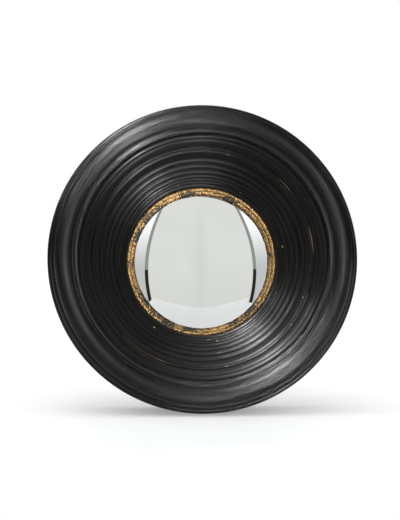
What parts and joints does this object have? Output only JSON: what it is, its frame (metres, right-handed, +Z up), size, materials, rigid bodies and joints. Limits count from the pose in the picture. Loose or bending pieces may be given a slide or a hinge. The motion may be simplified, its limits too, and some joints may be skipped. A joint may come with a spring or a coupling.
{
  "type": "convex wall mirror",
  "caption": "Small domed mirror at the bottom of a deep, round, black turned frame with reeded funnel and gilt sight ring; back board held by turn buttons, hung by a ring.",
  "frame": {"origin": "centre of the back face, in the plane of the wall, on the mirror's axis", "axes": "+Y along the mirror's axis towards the wall, so the mirror faces -Y; +Z up, through the hanger"},
  "size_m": [0.24, 0.068, 0.24],
  "materials": {
    "black_paint": "turned wood, satin black paint, brushed round, rubbed brown on its edges",
    "gilding": "turned wood, worn gold leaf over red and black ground",
    "mirror_glass": "polished domed glass, silvered behind",
    "silvering": "silver coat under grey protective paint",
    "felt": "thin black felt",
    "foam": "soft closed-cell foam",
    "board": "pressed hardboard, raw",
    "brass_plate": "stamped, brass plated",
    "brass_screws": "yellow passivated wood screws",
    "nickel": "nickel plated",
    "steel": "zinc plated"
  },
  "bodies": {
    "frame": {"outer_ring": "black_paint", "cove_ring": "black_paint", "reeded_ring": "black_paint", "gilt_slip": "gilding", "slip_pins": "steel", "glass_gasket": "felt", "mirror_glass": "mirror_glass", "silver_backing": "silvering", "foam_ring": "foam", "back_board": "board", "turn_button_screws": "steel", "outer_ring_screws": "brass_screws", "reeded_ring_screws": "brass_screws", "hanger_strap": "nickel", "hanger_screw": "steel"},
    "turn_button_1": {"turn_button_1": "brass_plate"},
    "turn_button_2": {"turn_button_2": "brass_plate"},
    "turn_button_3": {"turn_button_3": "brass_plate"},
    "turn_button_4": {"turn_button_4": "brass_plate"},
    "hanging_ring": {"hanging_ring": "nickel"}
  },
  "joints": [
    {"name": "turn_button_1_turn", "type": "hinge", "parent": "frame", "child": "turn_button_1", "pos_m": [0.04879, -0.008, 0.04879], "axis": [0, 1, 0], "continuous": true},
    {"name": "turn_button_2_turn", "type": "hinge", "parent": "frame", "child": "turn_button_2", "pos_m": [-0.04879, -0.008, 0.04879], "axis": [0, 1, 0], "continuous": true},
    {"name": "turn_button_3_turn", "type": "hinge", "parent": "frame", "child": "turn_button_3", "pos_m": [-0.04879, -0.008, -0.04879], "axis": [0, 1, 0], "continuous": true},
    {"name": "turn_button_4_turn", "type": "hinge", "parent": "frame", "child": "turn_button_4", "pos_m": [0.04879, -0.008, -0.04879], "axis": [0, 1, 0], "continuous": true},
    {"name": "hanging_ring_swing", "type": "hinge", "parent": "frame", "child": "hanging_ring", "pos_m": [0, -0.00555, 0.0855], "axis": [1, 0, 0], "range_deg": [0, 180]}
  ]
}
